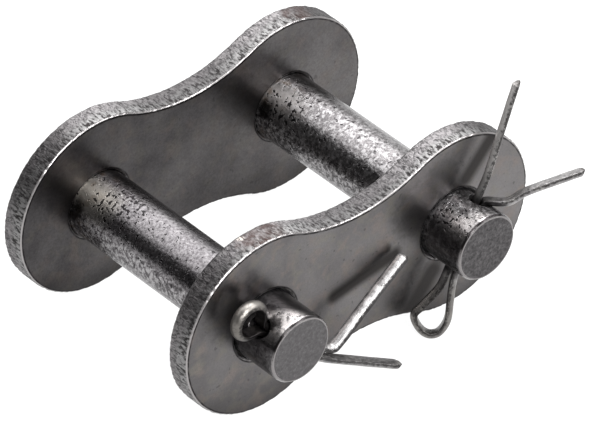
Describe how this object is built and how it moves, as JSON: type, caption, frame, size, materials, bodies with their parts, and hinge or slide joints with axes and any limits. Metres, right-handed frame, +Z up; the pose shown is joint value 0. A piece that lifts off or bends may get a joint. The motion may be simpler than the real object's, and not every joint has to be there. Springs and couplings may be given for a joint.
{
  "type": "roller chain connecting link",
  "caption": "Connecting link for roller chain: waisted plates on cross-drilled pins, with a slip-on cover plate held by spread split cotters.",
  "frame": {"origin": "outer face of the rear plate, midway between the two pins", "axes": "+X along the pitch from the left pin to the right pin, +Y out of the rear plate's outer face along the pins, +Z up with the link standing on its plate edges"},
  "size_m": [0.0601, 0.0469, 0.033],
  "materials": {
    "plate_steel": "blanked steel strip, tumbled dull grey, with faint rust stains",
    "pin_steel": "turned and ground steel bar, dark spots and light wear",
    "cotter_wire": "drawn half-round steel wire, bent by hand"
  },
  "bodies": {
    "root": {"rear_plate": "plate_steel", "cover_plate": "plate_steel", "left_pin": "pin_steel", "right_pin": "pin_steel", "left_cotter": "cotter_wire", "right_cotter": "cotter_wire"}
  },
  "joints": []
}
